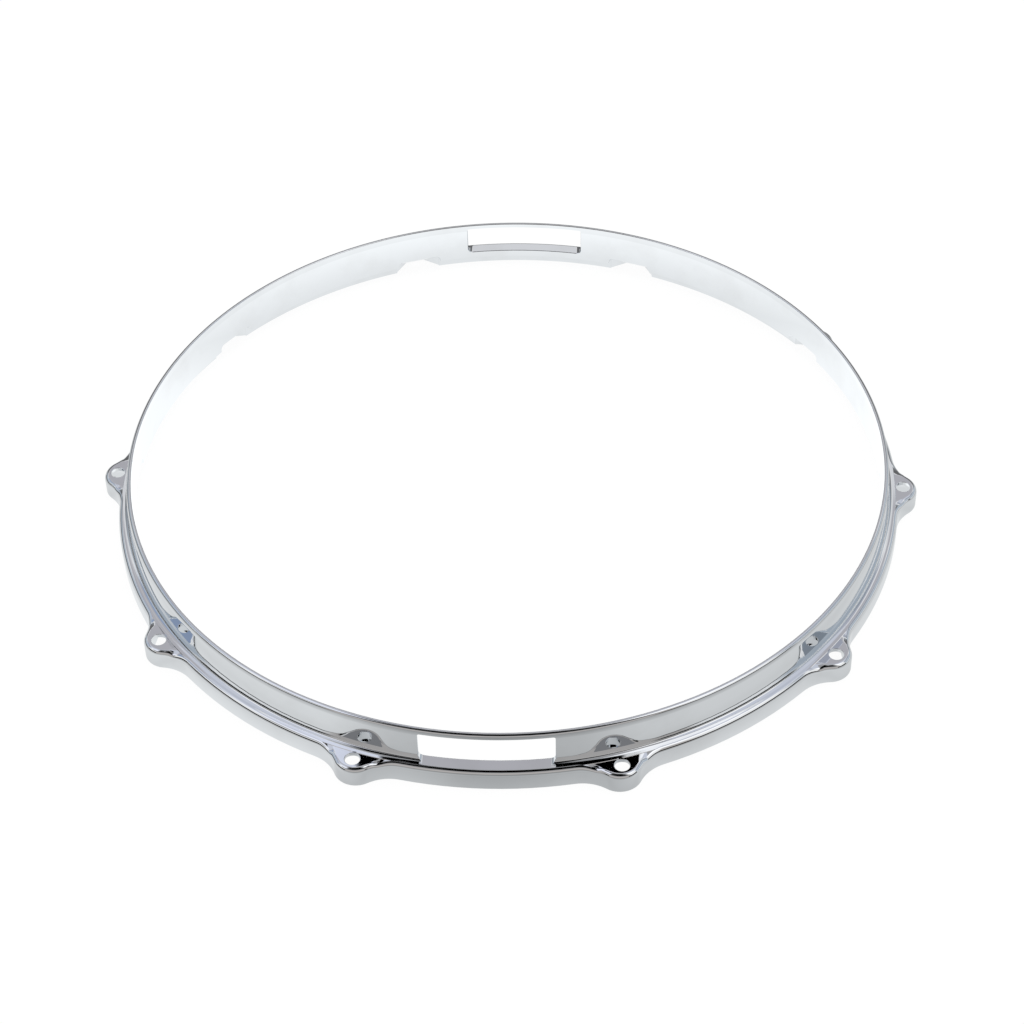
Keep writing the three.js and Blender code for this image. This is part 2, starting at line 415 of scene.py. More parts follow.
@dataclass(frozen=True)
class RingSection:
    """Section of the hoop between its ears, mm.

    The wall thins upwards, a small fillet joins it to a flange that falls gently to a
    rounded edge, and the skirt below carries the seat of the head's hoop. Both rounds of
    the rim have to fit in its width, and the flange's hollow has to end inside its edge.
    """

    bore: float = 180.0
    rim_width: float = 2.4
    rim_lip: float = 0.3
    rim_lip_depth: float = 3.8
    rim_edge: float = 0.45
    rim_round: float = 1.6
    rim_roll: float = 11.0
    rim_roll_from: float = math.radians(15)
    height: float = 28.2
    skirt_height: float = 10.6
    skirt_outer: float = 188.0
    skirt_inner: float = 185.0
    seat_height: float = 6.4
    flange_edge: float = 2.2
    flange_drop: float = 3.0
    flange_height: float = 10.52
    wall_lean: float = math.radians(3.0)
    root_fillet: float = 1.0
    flange_from: float = math.radians(70)
    flange_to: float = math.radians(83)
    flange_curve: float = 7.0
    base_edge: float = 0.5
    seat_fillet: float = 1.0
    pad_height: float = 10.2
    pad_from: float = 186.6
    pad_step: float = 0.15
    pad_blend: Place = (0.2, 0.8)
    least_step: float = 0.03
    least_top: float = 0.09
    neck_fall: float = math.radians(17)
    neck_from: float = 10.3
    neck_blend: float = 1.5
    neck_end: Place = (15.5, 20.0)

    @property
    def inner(self) -> float:
        """Radius of the wall's inside, below the rim's lip."""
        return self.bore + self.rim_lip

    @property
    def root_height(self) -> float:
        """Height at which the wall runs into the fillet."""
        return self.fillet_centre[1] - self.root_fillet * math.sin(self.wall_lean)

    @property
    def root_radius(self) -> float:
        """Radius at which the wall runs into the fillet."""
        return self.fillet_centre[0] - self.root_fillet * math.cos(self.wall_lean)

    @property
    def flange_tilt(self) -> float:
        """Slope of the flange's outer cone."""
        return QUARTER - self.flange_to

    @property
    def flange_end(self) -> float:
        """Radius at which the rounding of the skirt's edge begins between the ears."""
        return self.skirt_outer - self.flange_edge

    @property
    def roll_centre(self) -> Place:
        """Centre of the soft roll between the wall and the rim's rounding.

        Returns:
            Its radius and height.
        """
        step = self.rim_roll - self.rim_round
        z = self.height - self.rim_round - step * math.sin(self.rim_roll_from)
        away = self.rim_roll / math.cos(self.wall_lean)
        return self.bore + self.rim_width + (self.height - z) * math.tan(self.wall_lean) - away, z

    @property
    def round_centre(self) -> Place:
        """Centre of the rim's outer rounding.

        Returns:
            Its radius and height.
        """
        step = self.rim_roll - self.rim_round
        r, z = self.roll_centre
        return r + step * math.cos(self.rim_roll_from), z + step * math.sin(self.rim_roll_from)

    @property
    def fillet_centre(self) -> Place:
        """Centre of the fillet at the wall's root, which touches wall and hollow.

        Returns:
            Its radius and height.
        """
        slope = math.tan(self.flange_tilt)
        away = self.flange_curve - self.root_fillet
        lean = self.wall_lean
        # Heights and radii both follow from the cone, which gives one straight equation.
        rise = (self.flange_curve * math.sin(self.flange_to) - away * math.sin(self.flange_from)
                + slope * (self.flange_end + self.flange_curve * math.cos(self.flange_to)
                           - away * math.cos(self.flange_from)))
        edge = (self.bore + self.rim_width) * math.cos(lean) + self.height * math.sin(lean)
        r = ((edge + self.root_fillet - (self.flange_height + rise) * math.sin(lean))
             / (math.cos(lean) - slope * math.sin(lean)))
        return r, self.flange_height + rise - slope * r

    @property
    def flange_centre(self) -> Place:
        """Centre of the flange's shallow hollow.

        Returns:
            Its radius and height.
        """
        away = self.flange_curve - self.root_fillet
        r, z = self.fillet_centre
        return r + away * math.cos(self.flange_from), z + away * math.sin(self.flange_from)

    def cone_height(self, r: float) -> float:
        """Height of the flange's outer cone at a radius."""
        return self.flange_height + (self.flange_end - r) * math.tan(self.flange_tilt)

    def wall_radius(self, z: float) -> float:
        """Outer radius of the metal at a height above the skirt.

        Args:
            z: the height, mm.

        Returns:
            The radius, mm.
        """
        r, middle = self.fillet_centre
        if z >= self.root_height:
            return self.root_radius - (z - self.root_height) * math.tan(self.wall_lean)
        if z >= middle - self.root_fillet * math.sin(self.flange_from):
            return r - math.sqrt(self.root_fillet**2 - (middle - z) ** 2)
        r, middle = self.flange_centre
        if z >= middle - self.flange_curve * math.sin(self.flange_to):
            return r - math.sqrt(self.flange_curve**2 - (middle - z) ** 2)
        return self.flange_end - (z - self.flange_height) / math.tan(self.flange_tilt)

    def top_tilt(self, along: float) -> float:
        """Outward slope of the top next to the outline: level pads, steeper necks.

        Args:
            along: distance along the ring from the middle of the ear, mm.

        Returns:
            The slope, radians.
        """
        low, high = self.neck_end
        neck = self.neck_fall * eased((abs(along) - self.neck_from) / self.neck_blend)
        return neck + (self.flange_tilt - neck) * eased((abs(along) - low) / (high - low))

    def column(self, point: OutlinePoint) -> list[tuple[Surface, float, float, float]]:
        """Section at one outline point.

        Args:
            point: the outline point that the section runs out to.

        Returns:
            One entry a vertex, going round the section: the surface that starts there,
            then the place along the ring, outwards and up, mm.
        """
        sin_a, cos_a = math.sin(point.azimuth), math.cos(point.azimuth)
        sin_n, cos_n = math.sin(point.bearing), math.cos(point.bearing)
        rows: list[tuple[Surface, float, float, float]] = []

        def ring(surface: Surface, places: Iterable[Place]) -> None:
            """Adds points that lie on circles round the hoop, all but the last."""
            rows.extend((surface, r * sin_a, r * cos_a, z) for r, z in list(places)[:-1])

        def line(surface: Surface, a: Place, b: Place, steps: int) -> None:
            """Adds a straight run of the section on circles round the hoop."""
            ring(surface, [(a[0] + (b[0] - a[0]) * i / steps, a[1] + (b[1] - a[1]) * i / steps)
                           for i in range(steps + 1)])

        def inwards(depth: float) -> Place:
            """The place that lies a distance in from the outline point."""
            return point.along - depth * sin_n, point.out - depth * cos_n

        def inset(surface: Surface, places: Iterable[Place]) -> None:
            """Adds points set in from the outline by a distance, all but the last."""
            rows.extend((surface, *inwards(depth), z) for depth, z in list(places)[:-1])

        def chord(surface: Surface, a: Sequence[float], b: Sequence[float]) -> None:
            """Adds three points of a straight run between a circle and the outline."""
            rows.extend((surface, *(p + (q - p) * i / 3 for p, q in zip(a, b))) for i in range(3))

        lip, inner, half_turn = self.base_edge, self.inner, 2 * QUARTER
        lip_z, rim_z = self.height - self.rim_lip_depth, self.height - self.rim_edge
        rim_r = self.bore + self.rim_edge
        outer = arc_points(self.round_centre, self.rim_round, QUARTER, self.rim_roll_from, 8)
        roll = arc_points(self.roll_centre, self.rim_roll, self.rim_roll_from, self.wall_lean, 5)
        fillet = arc_points(self.fillet_centre, self.root_fillet,
                            self.wall_lean, self.flange_from, 7, Turn.CONCAVE)
        hollow = arc_points(self.flange_centre, self.flange_curve,
                            self.flange_from, self.flange_to, 6, Turn.CONCAVE)
        line(Surface.WALL_INNER, (inner, self.seat_height + lip), (inner, lip_z), 5)
        line(Surface.RIM_LIP, (inner, lip_z), (self.bore, rim_z), 2)
        ring(Surface.RIM_INNER, arc_points((rim_r, rim_z), self.rim_edge, half_turn, QUARTER, 4))
        line(Surface.RIM_TOP, (rim_r, self.height), outer[0], 2)
        ring(Surface.RIM_OUTER, outer)
        ring(Surface.RIM_ROLL, roll)
        line(Surface.WALL_OUTER, roll[-1], fillet[0], 5)
        ring(Surface.ROOT_FILLET, fillet)
        ring(Surface.FLANGE, hollow)

        # The top runs down the flange's cone, over a low step on to the pad or neck, and
        # into the elliptic edge, which starts where its slope is the top's own.
        edge = self.flange_edge
        foot_z = self.skirt_height - self.flange_drop
        tilt = self.top_tilt(point.along)
        skip = math.atan(edge / self.flange_drop * math.tan(tilt))
        stop = inwards(edge * (1 - math.sin(skip)))
        end = math.hypot(*stop)
        brow = min(self.pad_from, end - self.least_top)
        brow_z = self.cone_height(brow)
        line(Surface.FLANGE_CONE, hollow[-1], (brow, brow_z), 3)
        share = eased((end - self.pad_from - self.pad_blend[0]) / self.pad_blend[1])
        foot = brow + self.least_step + (self.pad_step - self.least_step) * share
        pad_z = self.cone_height(foot) + (self.pad_height - self.cone_height(foot)) * share
        line(Surface.PAD_STEP, (brow, brow_z), (foot, pad_z), 2)
        top = pad_z - (end - foot) * math.tan(tilt)
        chord(Surface.PAD, (foot * sin_a, foot * cos_a, pad_z), (*stop, top))
        drop = (top - foot_z) / math.cos(skip)
        inset(Surface.EDGE, [(edge - edge * math.sin(t), foot_z + drop * math.cos(t))
                             for t in np.linspace(skip, QUARTER, 12)])

        base_in = self.skirt_inner + lip
        seat = (self.skirt_inner - self.seat_fillet, self.seat_height - self.seat_fillet)
        inset(Surface.SKIRT, [(0.0, z) for z in np.linspace(foot_z, lip, 4)])
        inset(Surface.BASE_OUTER, arc_points((lip, lip), lip, 0, QUARTER, 3, Turn.CONCAVE))
        chord(Surface.BASE, (*inwards(lip), 0.0), (base_in * sin_a, base_in * cos_a, 0.0))
        ring(Surface.BASE_INNER, arc_points((base_in, lip), lip, -QUARTER, -half_turn, 3))
        line(Surface.SKIRT_INNER, (self.skirt_inner, lip), (self.skirt_inner, seat[1]), 2)
        ring(Surface.SEAT_FILLET, arc_points(seat, self.seat_fillet, 0, QUARTER, 4))
        line(Surface.SEAT, (seat[0], self.seat_height), (inner + lip, self.seat_height), 2)
        ring(Surface.SEAT_LIP, arc_points(
            (inner + lip, self.seat_height + lip), lip, -QUARTER, -half_turn, 3))
        return rows


# Cutters.


@dataclass(frozen=True)
class RodEar:
    """What is machined and cored into each ear for its tension rod, mm."""

    rod_circle: float = 190.5
    hole: float = 3.4
    hole_edge: float = 0.25
    hole_land: float = 1.5
    hole_relief: float = 4.6
    relief_foot: float = 4.0
    relief_neck: float = 0.2
    seat: float = 4.1
    seat_lift: float = 0.006
    plate_underside: float = 7.2
    wall: float = 3.0
    mouth: float = 11.5
    mouth_blend: float = 0.6
    wall_stations: tuple[float, ...] = (-1.3, -0.3, 1.0, 2.0)
    skirt_station: float = 184.6
    tip_gap: float = 0.05
    foot: float = -1.0
    crown_rise: float = 3.0
    crown_radius: float = 2.4
    ceiling_radius: float = 1.2
    corner_share: float = 0.7
    overlap: float = 0.004
    overrun: Place = (3.0, 6.0)
    sides: int = 48

    def _circle(self, radius: float, z: float) -> list[tuple[float, float, float]]:
        """A level circle of points round the rod's axis."""
        turns = np.linspace(0, 2 * math.pi, self.sides, endpoint=False)
        return [(radius * math.cos(t), -self.rod_circle + radius * math.sin(t), z) for t in turns]

    def hole_cutter(self, top: float) -> bpy.types.Mesh:
        """The rod hole, wide below a short land and rounded at its upper edge.

        Args:
            top: height of the ear's level top, mm.

        Returns:
            The cutter's mesh.
        """
        edge = self.hole_edge
        loops = [
            self._circle(self.hole_relief, self.relief_foot),
            self._circle(self.hole_relief, self.plate_underside - self.relief_neck),
            self._circle(self.hole, top - self.hole_land),
            self._circle(self.hole, top - edge),
        ]
        for t in np.linspace(0, QUARTER, 5)[1:]:
            loops.append(self._circle(self.hole + edge - edge * math.cos(t),
                                      top - edge + edge * math.sin(t) + self.overlap))
        loops.append(self._circle(self.hole + edge, top + self.overrun[0]))
        return loft(loops, Surface.ROD_HOLE, "rod_hole_cutter")

    def seat_cutter(self, top: float) -> bpy.types.Mesh:
        """The spot face that a washer lies on, cut into the flange behind the hole."""
        loops = [self._circle(self.seat, top + z) for z in (self.seat_lift, self.overrun[1])]
        return loft(loops, Surface.SPOT_FACE, "spot_face_cutter")

    def pocket_cutter(self, outline: EarOutline, inner: float) -> bpy.types.Mesh:
        """The hollow under an ear, open downwards and to the inside of the ring.

        Args:
            outline: plan of the ear that the hollow follows.
            inner: radius of the wall's inside, mm.

        Returns:
            The cutter's mesh.
        """
        radius = outline.tip_radius - self.wall
        turn = QUARTER / 2
        centre = outline.tip_centre
        flank_out = centre + radius * math.sin(turn)
        mouth_out = flank_out - (self.mouth - radius * math.cos(turn))
        crown_end = inner + self.crown_rise
        stations = [inner + step for step in self.wall_stations]
        stations += [crown_end, self.skirt_station, mouth_out - self.mouth_blend]
        stations += list(np.linspace(mouth_out, flank_out, 5))
        stations += [centre + radius * math.sin(t) for t in np.linspace(turn, QUARTER, 9)[1:-1]]
        stations.append(centre + radius - self.tip_gap)

        def half_width(out: float) -> float:
            """Half of the hollow's width.

            Args:
                out: distance from the middle of the ring, mm.

            Returns:
                Half of the width there, mm.
            """
            if out <= mouth_out:
                return self.mouth
            if out <= flank_out:
                return self.mouth - (out - mouth_out)
            return math.sqrt(radius**2 - (out - centre) ** 2)

        loops = []
        for out in stations:
            width = half_width(out)
            rise = min(max(crown_end - out, 0.0), self.crown_rise)
            corner = min(self.crown_radius if rise > 0 else self.ceiling_radius,
                         width * self.corner_share)
            height = self.plate_underside + rise - corner
            loop = [(-width, -out, self.foot), (width, -out, self.foot)]
            for side, first in ((1, 0.0), (-1, QUARTER)):
                loop += [(side * (width - corner) + corner * math.cos(t), -out,
                          height + corner * math.sin(t))
                         for t in np.linspace(first, first + QUARTER, 6)]
            loops.append(loop)
        return loft(loops, Surface.POCKET, "ear_pocket_cutter")


@dataclass(frozen=True)
class StrapGate:
    """A rectangular opening through the collar for the snare straps, mm."""

    half_width: float = 30.0
    sill: float = 10.5
    head: float = 25.7
    sill_corner: float = 2.5
    head_corner: float = 1.0
    edge: float = 0.4
    edge_reach: float = 0.97
    edge_steps: int = 5
    sill_points: int = 9
    side_points: int = 6
    head_points: int = 19
    sill_corner_steps: int = 8
    head_corner_steps: int = 5
    sill_fade: Place = (0.15, 0.8)
    overrun: float = 1.6
    outside: float = 191.0

    def _outline(self) -> list[tuple[float, float, float, float]]:
        """Lays out the opening's outline, once round from the left of its sill.

        Returns:
            Its points, as x, z and the direction away from the middle.
        """
        s, h, w = self.sill_corner, self.head_corner, self.half_width
        low, high = self.sill + s, self.head - h
        side, at_sill, at_head = self.side_points, self.sill_corner_steps, self.head_corner_steps
        points: list[tuple[float, float, float, float]] = []

        def run(a: Place, b: Place, away: Place, steps: int) -> None:
            """Adds the points inside a straight side."""
            ends = (np.linspace(a[i], b[i], steps)[1:-1] for i in (0, 1))
            points.extend((x, z, *away) for x, z in zip(*ends))

        def corner(middle: Place, radius: float, start: float, steps: int) -> None:
            """Adds a rounded corner, with both of its ends.

            Args:
                middle: centre of its arc.
                radius: radius of the arc, mm.
                start: angle of the first point, radians.
                steps: number of steps.
            """
            for t in np.linspace(start, start + QUARTER, steps + 1):
                n_x, n_z = math.cos(t), math.sin(t)
                points.append((middle[0] + radius * n_x, middle[1] + radius * n_z, n_x, n_z))

        run((-w + s, self.sill), (w - s, self.sill), (0.0, -1.0), self.sill_points)
        corner((w - s, low), s, -QUARTER, at_sill)
        run((w, low), (w, high), (1.0, 0.0), side)
        corner((w - h, high), h, 0.0, at_head)
        run((w - h, self.head), (-w + h, self.head), (0.0, 1.0), self.head_points)
        corner((-w + h, high), h, QUARTER, at_head)
        run((-w, high), (-w, low), (-1.0, 0.0), side)
        corner((-w + s, low), s, math.pi, at_sill)
        return points

    def cutter(self, section: RingSection) -> bpy.types.Mesh:
        """The opening as a solid whose mouths flare over rounded edges.

        Args:
            section: section of the ring that the opening goes through.

        Returns:
            The cutter's mesh, for the gate at the front.
        """
        edge, steps = self.edge, self.edge_steps
        reach = self.edge_reach * edge
        loops = []
        for depth in range(2 * steps + 2):
            outer = depth > steps
            s = edge * ((depth - steps - 1) / steps if outer else 1 - depth / steps)
            flare = edge - math.sqrt(max(edge**2 - s**2, 0.0))
            loop = []
            for x, z, n_x, n_z in self._outline():
                grow = flare
                if outer:
                    grow *= held((z - self.sill - self.sill_fade[0]) / self.sill_fade[1])
                    r = section.wall_radius(z) - reach + s
                else:
                    r = section.inner + reach - s
                if depth == 0:
                    r = section.inner - self.overrun
                elif depth == 2 * steps + 1:
                    r = self.outside
                px = x + n_x * grow
                loop.append((px, -math.sqrt(r * r - px * px), z + n_z * grow))
            loops.append(loop)
        return loft(loops, Surface.GATE, "strap_gate_cutter")


# Finishes.


@dataclass(frozen=True)
class ChromePlate:
    """Bright decorative chrome over a polished zinc casting."""

    name: str = "chrome_plate"
    colour: tuple[float, float, float] = (0.80, 0.815, 0.83)
    worn_colour: tuple[float, float, float] = (0.745, 0.755, 0.765)
    wear_range: Place = (0.48, 0.78)
    gloss_range: Place = (0.1, 0.45)
    roughness: Place = (0.012, 0.04)
    haze_scale: float = 38.0
    haze_detail: float = 5.0
    haze_roughness: float = 0.62
    scratch_scale: float = 900.0
    scratch_detail: float = 3.0
    scratch_stretch: float = 0.08
    ripple_scale: float = 160.0
    ripple_detail: float = 1.0
    ripple_height: float = 0.000004

    def material(self) -> bpy.types.Material:
        """Builds the material.

        Returns:
            A metal with faint buffing haze, fine scratches and the slight ripple that
            plating keeps from the casting under it.
        """
        material = bpy.data.materials.new(self.name)
        sheet = NodeSheet.of(material)
        place = sheet.add("ShaderNodeTexCoord").outputs["Object"]
        along = sheet.add("ShaderNodeMapping", {
            "Scale": (1.0, 1.0, self.scratch_stretch), "Vector": place})
        haze = sheet.add("ShaderNodeTexNoise", {
            "Scale": self.haze_scale, "Detail": self.haze_detail,
            "Roughness": self.haze_roughness, "Vector": place}).outputs["Fac"]
        scratches = sheet.add("ShaderNodeTexNoise", {
            "Scale": self.scratch_scale, "Detail": self.scratch_detail,
            "Vector": along.outputs["Vector"]}).outputs["Fac"]
        ripple = sheet.add("ShaderNodeTexNoise", {
            "Scale": self.ripple_scale, "Detail": self.ripple_detail,
            "Vector": place}).outputs["Fac"]
        wear = sheet.add("ShaderNodeMapRange", {
            "From Min": self.wear_range[0], "From Max": self.wear_range[1], "Value": haze})
        colour = sheet.add("ShaderNodeMix", {
            "A": (*self.colour, 1.0), "B": (*self.worn_colour, 1.0),
            "Factor": wear.outputs["Result"]}, data_type="RGBA")
        gloss = sheet.add("ShaderNodeMapRange", {
            "From Min": self.gloss_range[0], "From Max": self.gloss_range[1],
            "To Min": self.roughness[0], "To Max": self.roughness[1],
            "Value": sheet.maths("MULTIPLY", haze, scratches)})
        bump = sheet.add("ShaderNodeBump", {
            "Strength": 1.0, "Distance": self.ripple_height, "Height": ripple})
        metal = sheet.add("ShaderNodeBsdfPrincipled", {
            "Metallic": 1.0, "Base Color": colour.outputs["Result"],
            "Roughness": gloss.outputs["Result"], "Normal": bump.outputs["Normal"]})
        sheet.add("ShaderNodeOutputMaterial", {"Surface": metal.outputs["BSDF"]})
        return material


# Casting.


@dataclass
class HoopCasting:
    """The whole hoop, one plated casting."""

    section: RingSection = field(default_factory=RingSection)
    outline: EarOutline = field(default_factory=EarOutline)
    ear: RodEar = field(default_factory=RodEar)
    gate: StrapGate = field(default_factory=StrapGate)
    finish: ChromePlate = field(default_factory=ChromePlate)
    name: str = "hoop_casting"
    gate_count: int = 2
    merge_distance: float = 0.000002

    def sector(self) -> bpy.types.Mesh:
        """Builds one ear with its share of the ring, at the front.

        Returns:
            A closed solid, whose two cut ends are marked.
        """
        columns = [self.section.column(p) for p in self.outline.points()]
        points = [(along, -out, z) for column in columns for _, along, out, z in column]
        kinds = [int(row[0]) for column in columns[:-1] for row in column]
        kinds += [int(Surface.SECTOR_END)] * 2
        return solid_mesh("hoop_sector", points, banded(len(columns), len(columns[0])), kinds)

    def _tree(self) -> tuple[bpy.types.NodeTree, dict[str, str]]:
        """Builds the node tree that cuts, repeats and joins the sector.

        Returns:
            The tree, and the identifier of each of its named inputs.
        """
        tree = bpy.data.node_groups.new("hoop_ring", "GeometryNodeTree")
        sheet = NodeSheet(tree)
        names: dict[str, str] = {}
        for label, kind in (
            ("Sector", "Geometry"), ("Rod Hole", "Object"), ("Spot Face", "Object"),
            ("Ear Pocket", "Object"), ("Strap Gate", "Object"), ("Ear Count", "Int"),
            ("Gate Count", "Int"), ("Merge Distance", "Float"), ("Finish", "Material"),
        ):
            names[label] = tree.interface.new_socket(
                label, in_out="INPUT", socket_type=f"NodeSocket{kind}").identifier
        tree.interface.new_socket("Hoop", in_out="OUTPUT", socket_type="NodeSocketGeometry")
        source = sheet.add("NodeGroupInput").outputs

        def mesh_of(label: str) -> bpy.types.NodeSocket:
            """The mesh of the object given to a named input."""
            info = sheet.add("GeometryNodeObjectInfo", {"Object": source[label]})
            return info.outputs["Geometry"]

        def subtract(
            solid: bpy.types.NodeSocket, cutters: list[bpy.types.NodeSocket]
        ) -> bpy.types.NodeSocket:
            """A solid less every cutter."""
            return sheet.add("GeometryNodeMeshBoolean", {"Mesh 1": solid, "Mesh 2": cutters},
                             operation="DIFFERENCE", solver="EXACT").outputs["Mesh"]

        def realized(copies: bpy.types.NodeSocket) -> bpy.types.NodeSocket:
            """Copies turned into plain geometry."""
            return sheet.add("GeometryNodeRealizeInstances", {"Geometry": copies}).outputs[0]

        def round_ring(
            shape: bpy.types.NodeSocket, count: bpy.types.NodeSocket, shift: float
        ) -> bpy.types.NodeSocket:
            """Repeats a shape round the ring.

            Args:
                shape: the shape at the front.
                count: number of copies.
                shift: turn of the first copy, as a share of a step.

            Returns:
                The copies as plain geometry.
            """
            points = sheet.add("GeometryNodePoints", {"Count": count}).outputs[0]
            index = sheet.add("GeometryNodeInputIndex").outputs["Index"]
            angle = sheet.maths("MULTIPLY", sheet.maths("ADD", index, shift),
                                sheet.maths("DIVIDE", 2 * math.pi, count))
            turn = sheet.add("ShaderNodeCombineXYZ", {"Z": angle}).outputs[0]
            return realized(sheet.add("GeometryNodeInstanceOnPoints", {
                "Points": points, "Instance": shape, "Rotation": turn}).outputs["Instances"])

        ear = subtract(source["Sector"],
                       [mesh_of("Rod Hole"), mesh_of("Spot Face"), mesh_of("Ear Pocket")])
        kind = sheet.add("GeometryNodeInputNamedAttribute", {"Name": SURFACE}, data_type="INT")
        is_end = sheet.add(
            "FunctionNodeCompare", {2: kind.outputs[0], 3: int(Surface.SECTOR_END)},
            data_type="INT", operation="EQUAL")
        opened = sheet.add("GeometryNodeDeleteGeometry", {
            "Geometry": ear, "Selection": is_end.outputs[0]}, domain="FACE")
        joined = sheet.add("GeometryNodeMergeByDistance", {
            "Geometry": round_ring(opened.outputs["Geometry"], source["Ear Count"], 0.5),
            "Distance": source["Merge Distance"]})
        gates = round_ring(mesh_of("Strap Gate"), source["Gate Count"], 0.0)
        dressed = sheet.add("GeometryNodeSetMaterial", {
            "Geometry": realized(subtract(joined.outputs["Geometry"], [gates])),
            "Material": source["Finish"]})
        sheet.add("NodeGroupOutput", {"Hoop": dressed.outputs["Geometry"]})
        return tree, names

    def build(self) -> bpy.types.Object:
        """Returns:
            The finished object, in place of every region of the CAD model.
        """
        top = self.section.pad_height
        shapes = {
            "Rod Hole": self.ear.hole_cutter(top),
            "Spot Face": self.ear.seat_cutter(top),
            "Ear Pocket": self.ear.pocket_cutter(self.outline, self.section.inner),
            "Strap Gate": self.gate.cutter(self.section),
        }
        cutters = {label: new_object(mesh.name, mesh) for label, mesh in shapes.items()}
        base = new_object("hoop_sector", self.sector())
        tree, names = self._tree()
        modifier = base.modifiers.new("ring", "NODES")
        modifier.node_group = tree
        for label, value in {
            **cutters, "Ear Count": self.outline.ear_count, "Gate Count": self.gate_count,
            "Merge Distance": self.merge_distance, "Finish": self.finish.material(),
        }.items():
            modifier[names[label]] = value
        depsgraph = bpy.context.evaluated_depsgraph_get()
        mesh = bpy.data.meshes.new_from_object(base.evaluated_get(depsgraph))
        mesh.name = self.name
        base.modifiers.remove(modifier)
        for helper in (base, *cutters.values()):
            shape = helper.data
            bpy.data.objects.remove(helper)
            bpy.data.meshes.remove(shape)
        bpy.data.node_groups.remove(tree)
        SurfaceNormals(self).apply(mesh)
        casting = new_object(self.name, mesh)
        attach(casting, "root")
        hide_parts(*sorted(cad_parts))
        return casting


